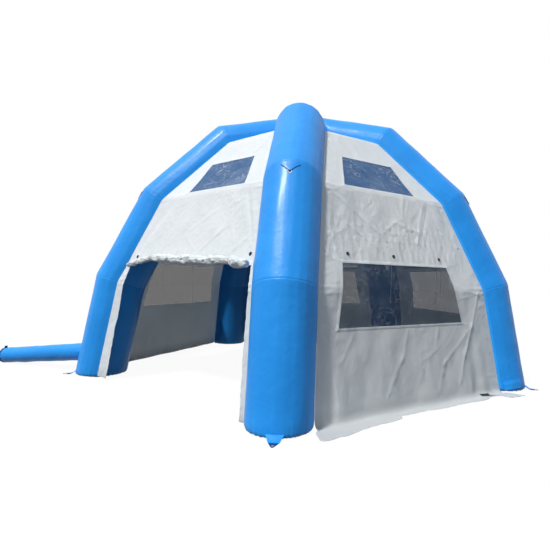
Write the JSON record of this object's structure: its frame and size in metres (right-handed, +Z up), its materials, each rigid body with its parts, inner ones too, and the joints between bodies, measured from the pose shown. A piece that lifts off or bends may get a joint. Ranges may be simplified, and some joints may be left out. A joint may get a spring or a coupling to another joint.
{
  "type": "inflatable tent",
  "caption": "Inflatable dome tent on angular air-filled legs meeting at a crown, with white fabric walls, clear windows, a rolled-up door, an inflation sleeve and anchor rings.",
  "frame": {"origin": "centre of the bounding box's underside, on the ground", "axes": "+Z up; -Y out of the doorway; +X to the right of someone who faces the doorway from outside"},
  "size_m": [7.713, 7.488, 4.5838],
  "materials": {
    "black_plastic": "moulded black plastic",
    "blue_tarpaulin": "satin PVC tarpaulin, sky blue",
    "clear_film": "clear flexible PVC film",
    "dark_blue_tarpaulin": "dark blue reinforced PVC",
    "ring_steel": "dulled welded steel wire",
    "white_cord": "thin braided cord",
    "white_fabric": "off-white coated polyester, slightly creased"
  },
  "bodies": {
    "tent": {"leg_right": "blue_tarpaulin", "leg_back": "blue_tarpaulin", "leg_left": "blue_tarpaulin", "leg_front_left": "blue_tarpaulin", "leg_front_right": "blue_tarpaulin", "inflation_sleeve": "blue_tarpaulin", "sleeve_end_panel": "dark_blue_tarpaulin", "anchor_patch_right": "dark_blue_tarpaulin", "anchor_patch_back": "dark_blue_tarpaulin", "anchor_patch_left": "dark_blue_tarpaulin", "anchor_patch_front_left": "dark_blue_tarpaulin", "anchor_patch_front_right": "dark_blue_tarpaulin", "wall_right_back": "white_fabric", "wall_left_back": "white_fabric", "wall_left_front": "white_fabric", "wall_door": "white_fabric", "wall_right_front": "white_fabric", "door_roll": "white_fabric", "door_tie_left": "white_fabric", "door_tie_right": "white_fabric", "window_cover_right_back": "white_fabric", "window_cover_left_back": "white_fabric", "window_cover_left_front": "white_fabric", "window_cover_right_front": "white_fabric", "upper_pane_right_back": "clear_film", "upper_pane_left_back": "clear_film", "upper_pane_left_front": "clear_film", "upper_pane_door": "clear_film", "upper_pane_right_front": "clear_film", "lower_pane_right_back": "clear_film", "lower_pane_left_back": "clear_film", "lower_pane_left_front": "clear_film", "lower_pane_right_front": "clear_film", "deflation_zip": "black_plastic", "door_cord_left": "white_cord", "door_cord_right": "white_cord", "window_cord_left": "white_cord", "window_cord_middle": "white_cord", "window_cord_right": "white_cord"},
    "anchor_ring_right": {"anchor_ring_right": "ring_steel"},
    "anchor_ring_back": {"anchor_ring_back": "ring_steel"},
    "anchor_ring_left": {"anchor_ring_left": "ring_steel"},
    "anchor_ring_front_left": {"anchor_ring_front_left": "ring_steel"},
    "anchor_ring_front_right": {"anchor_ring_front_right": "ring_steel"},
    "foot_tab_right": {"foot_tab_right": "dark_blue_tarpaulin"},
    "foot_tab_back": {"foot_tab_back": "dark_blue_tarpaulin"},
    "foot_tab_left": {"foot_tab_left": "dark_blue_tarpaulin"},
    "foot_tab_front_left": {"foot_tab_front_left": "dark_blue_tarpaulin"},
    "foot_tab_front_right": {"foot_tab_front_right": "dark_blue_tarpaulin"},
    "zip_flap": {"zip_flap": "blue_tarpaulin"},
    "zip_slider": {"zip_slider": "ring_steel"},
    "door_toggle_left": {"door_toggle_left": "black_plastic"},
    "door_toggle_right": {"door_toggle_right": "black_plastic"},
    "window_toggle_left": {"window_toggle_left": "black_plastic"},
    "window_toggle_middle": {"window_toggle_middle": "black_plastic"},
    "window_toggle_right": {"window_toggle_right": "black_plastic"}
  },
  "joints": [
    {"name": "anchor_ring_right_swing", "type": "hinge", "parent": "tent", "child": "anchor_ring_right", "pos_m": [2.83845, 0.71688, 2.88806], "axis": [0.309, -0.9511, 0], "range_deg": [0, 150]},
    {"name": "anchor_ring_back_swing", "type": "hinge", "parent": "tent", "child": "anchor_ring_back", "pos_m": [0.14045, 2.6771, 2.88806], "axis": [1, 0, 0], "range_deg": [0, 150]},
    {"name": "anchor_ring_left_swing", "type": "hinge", "parent": "tent", "child": "anchor_ring_left", "pos_m": [-2.55755, 0.71688, 2.88806], "axis": [0.309, 0.9511, 0], "range_deg": [0, 150]},
    {"name": "anchor_ring_front_left_swing", "type": "hinge", "parent": "tent", "child": "anchor_ring_front_left", "pos_m": [-1.52701, -2.4548, 2.88806], "axis": [-0.809, 0.5878, 0], "range_deg": [0, 150]},
    {"name": "anchor_ring_front_right_swing", "type": "hinge", "parent": "tent", "child": "anchor_ring_front_right", "pos_m": [1.8079, -2.4548, 2.88806], "axis": [-0.809, -0.5878, 0], "range_deg": [0, 150]},
    {"name": "foot_tab_right_lift", "type": "hinge", "parent": "tent", "child": "foot_tab_right", "pos_m": [3.67239, 0.98785, 0.055], "axis": [0.309, -0.9511, 0], "range_deg": [0, 35]},
    {"name": "foot_tab_back_lift", "type": "hinge", "parent": "tent", "child": "foot_tab_back", "pos_m": [0.14045, 3.55396, 0.055], "axis": [1, 0, 0], "range_deg": [0, 35]},
    {"name": "foot_tab_left_lift", "type": "hinge", "parent": "tent", "child": "foot_tab_left", "pos_m": [-3.3915, 0.98785, 0.055], "axis": [0.309, 0.9511, 0], "range_deg": [0, 35]},
    {"name": "foot_tab_front_left_lift", "type": "hinge", "parent": "tent", "child": "foot_tab_front_left", "pos_m": [-2.04242, -3.1642, 0.055], "axis": [-0.809, 0.5878, 0], "range_deg": [0, 35]},
    {"name": "foot_tab_front_right_lift", "type": "hinge", "parent": "tent", "child": "foot_tab_front_right", "pos_m": [2.32331, -3.1642, 0.055], "axis": [-0.809, -0.5878, 0], "range_deg": [0, 35]},
    {"name": "zip_flap_lift", "type": "hinge", "parent": "tent", "child": "zip_flap", "pos_m": [3.57833, 0.62112, 0.1856], "axis": [-0.6303, -0.762, -0.1484], "range_deg": [0, 75]},
    {"name": "zip_slider_run", "type": "hinge", "parent": "tent", "child": "zip_slider", "pos_m": [3.30628, 0.86889, 0.06892], "axis": [-0.1664, -0.0541, 0.9846], "range_deg": [0, 33]},
    {"name": "door_toggle_left_turn", "type": "hinge", "parent": "tent", "child": "door_toggle_left", "pos_m": [-1.05538, -2.72682, 1.88873], "axis": [0, -0.9333, 0.3591], "range_deg": [-90, 90]},
    {"name": "door_toggle_right_turn", "type": "hinge", "parent": "tent", "child": "door_toggle_right", "pos_m": [1.44606, -2.72682, 1.88873], "axis": [0, -0.9333, 0.3591], "range_deg": [-90, 90]},
    {"name": "window_toggle_left_turn", "type": "hinge", "parent": "tent", "child": "window_toggle_left", "pos_m": [2.27058, -1.86131, 1.92873], "axis": [0.8876, -0.2884, 0.3591], "range_deg": [-90, 90]},
    {"name": "window_toggle_middle_turn", "type": "hinge", "parent": "tent", "child": "window_toggle_middle", "pos_m": [2.50868, -1.1285, 1.92873], "axis": [0.8876, -0.2884, 0.3591], "range_deg": [-90, 90]},
    {"name": "window_toggle_right_turn", "type": "hinge", "parent": "tent", "child": "window_toggle_right", "pos_m": [2.78354, -0.28255, 1.92873], "axis": [0.8876, -0.2884, 0.3591], "range_deg": [-90, 90]}
  ]
}
